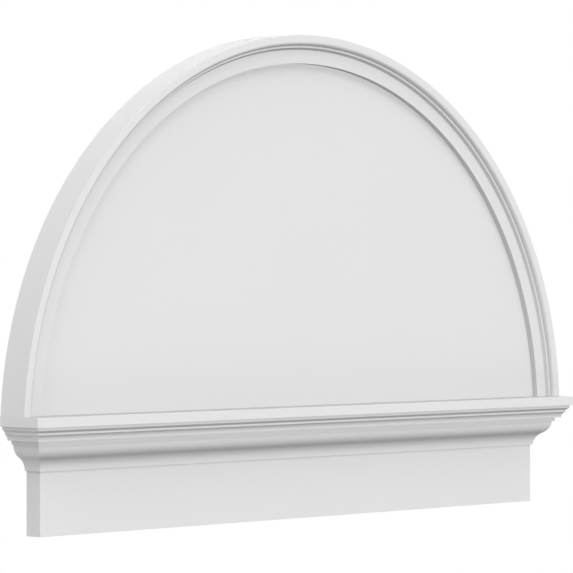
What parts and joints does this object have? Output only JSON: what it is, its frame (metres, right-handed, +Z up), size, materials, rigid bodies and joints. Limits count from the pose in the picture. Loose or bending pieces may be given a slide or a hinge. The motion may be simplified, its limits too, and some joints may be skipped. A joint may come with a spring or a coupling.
{
  "type": "half round pediment",
  "caption": "Half round pediment to fix over a door or window: a flat frieze under a projecting crown and cap, and a plain half disc panel in a bent arch moulding.",
  "frame": {"origin": "the point on the wall plane from which the arch is struck, on the centre line and 25.4 mm below the cap's top; it lies on the back face of the frieze board", "axes": "+X to the viewer's right along the frieze, +Y into the wall, -Y out of the front, +Z up"},
  "size_m": [1.0542, 0.0698, 0.654],
  "materials": {
    "painted_pvc_board": "white matt paint on cellular PVC board",
    "painted_pvc_moulding": "white satin paint on cellular PVC moulding"
  },
  "bodies": {
    "root": {"frieze_board": "painted_pvc_board", "crown_front": "painted_pvc_moulding", "crown_return_left": "painted_pvc_moulding", "crown_return_right": "painted_pvc_moulding", "cap_board": "painted_pvc_board", "tympanum_panel": "painted_pvc_board", "arch_moulding": "painted_pvc_moulding"}
  },
  "joints": []
}
